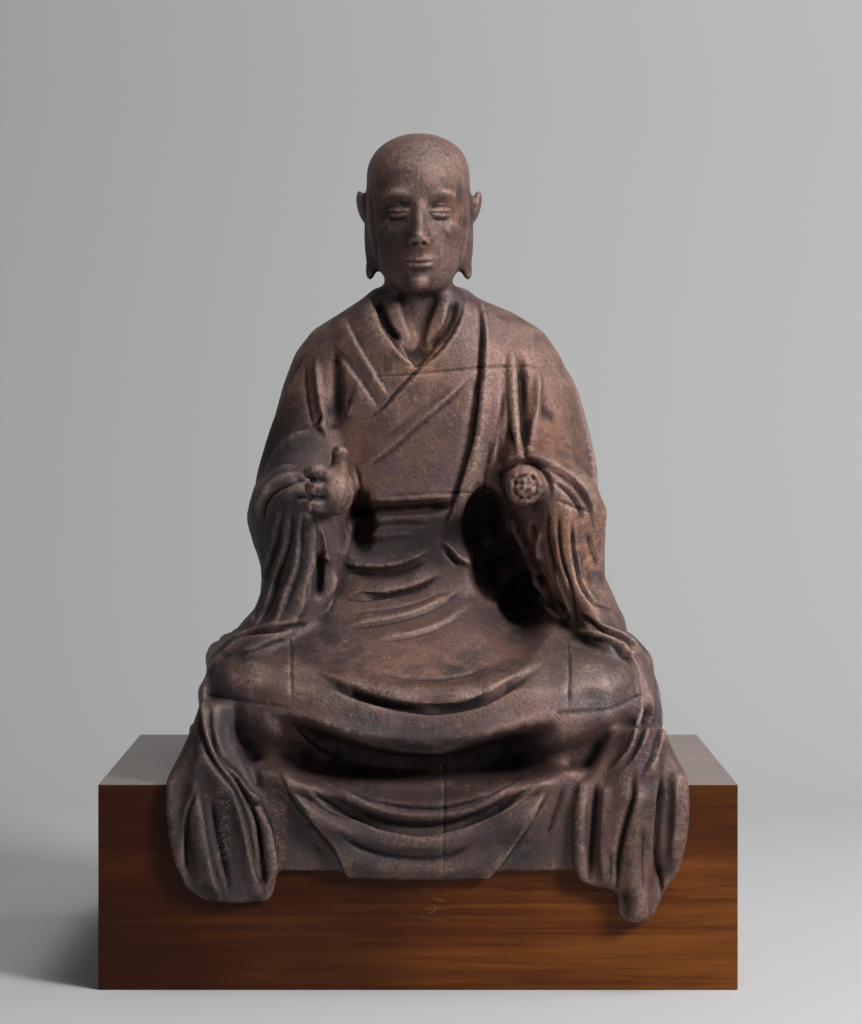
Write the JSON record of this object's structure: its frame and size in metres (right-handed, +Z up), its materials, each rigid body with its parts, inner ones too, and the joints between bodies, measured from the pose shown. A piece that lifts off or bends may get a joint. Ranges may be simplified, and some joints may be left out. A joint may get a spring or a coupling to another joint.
{
  "type": "iron arhat statue",
  "caption": "Life-size seated monk in cast iron with a draped robe, one hand raised and one lost, on a plain wooden block.",
  "frame": {"origin": "middle of the wooden block's underside", "axes": "+Z up, the figure faces -Y, +X to the right of someone who looks at its face"},
  "size_m": [0.87, 0.6082, 1.192],
  "materials": {
    "iron": "old cast iron, brown-black with rust bloom and worn highlights",
    "wood": "stained and varnished, grain along its width"
  },
  "bodies": {
    "root": {"iron_arhat": "iron", "wooden_block": "wood"}
  },
  "joints": []
}
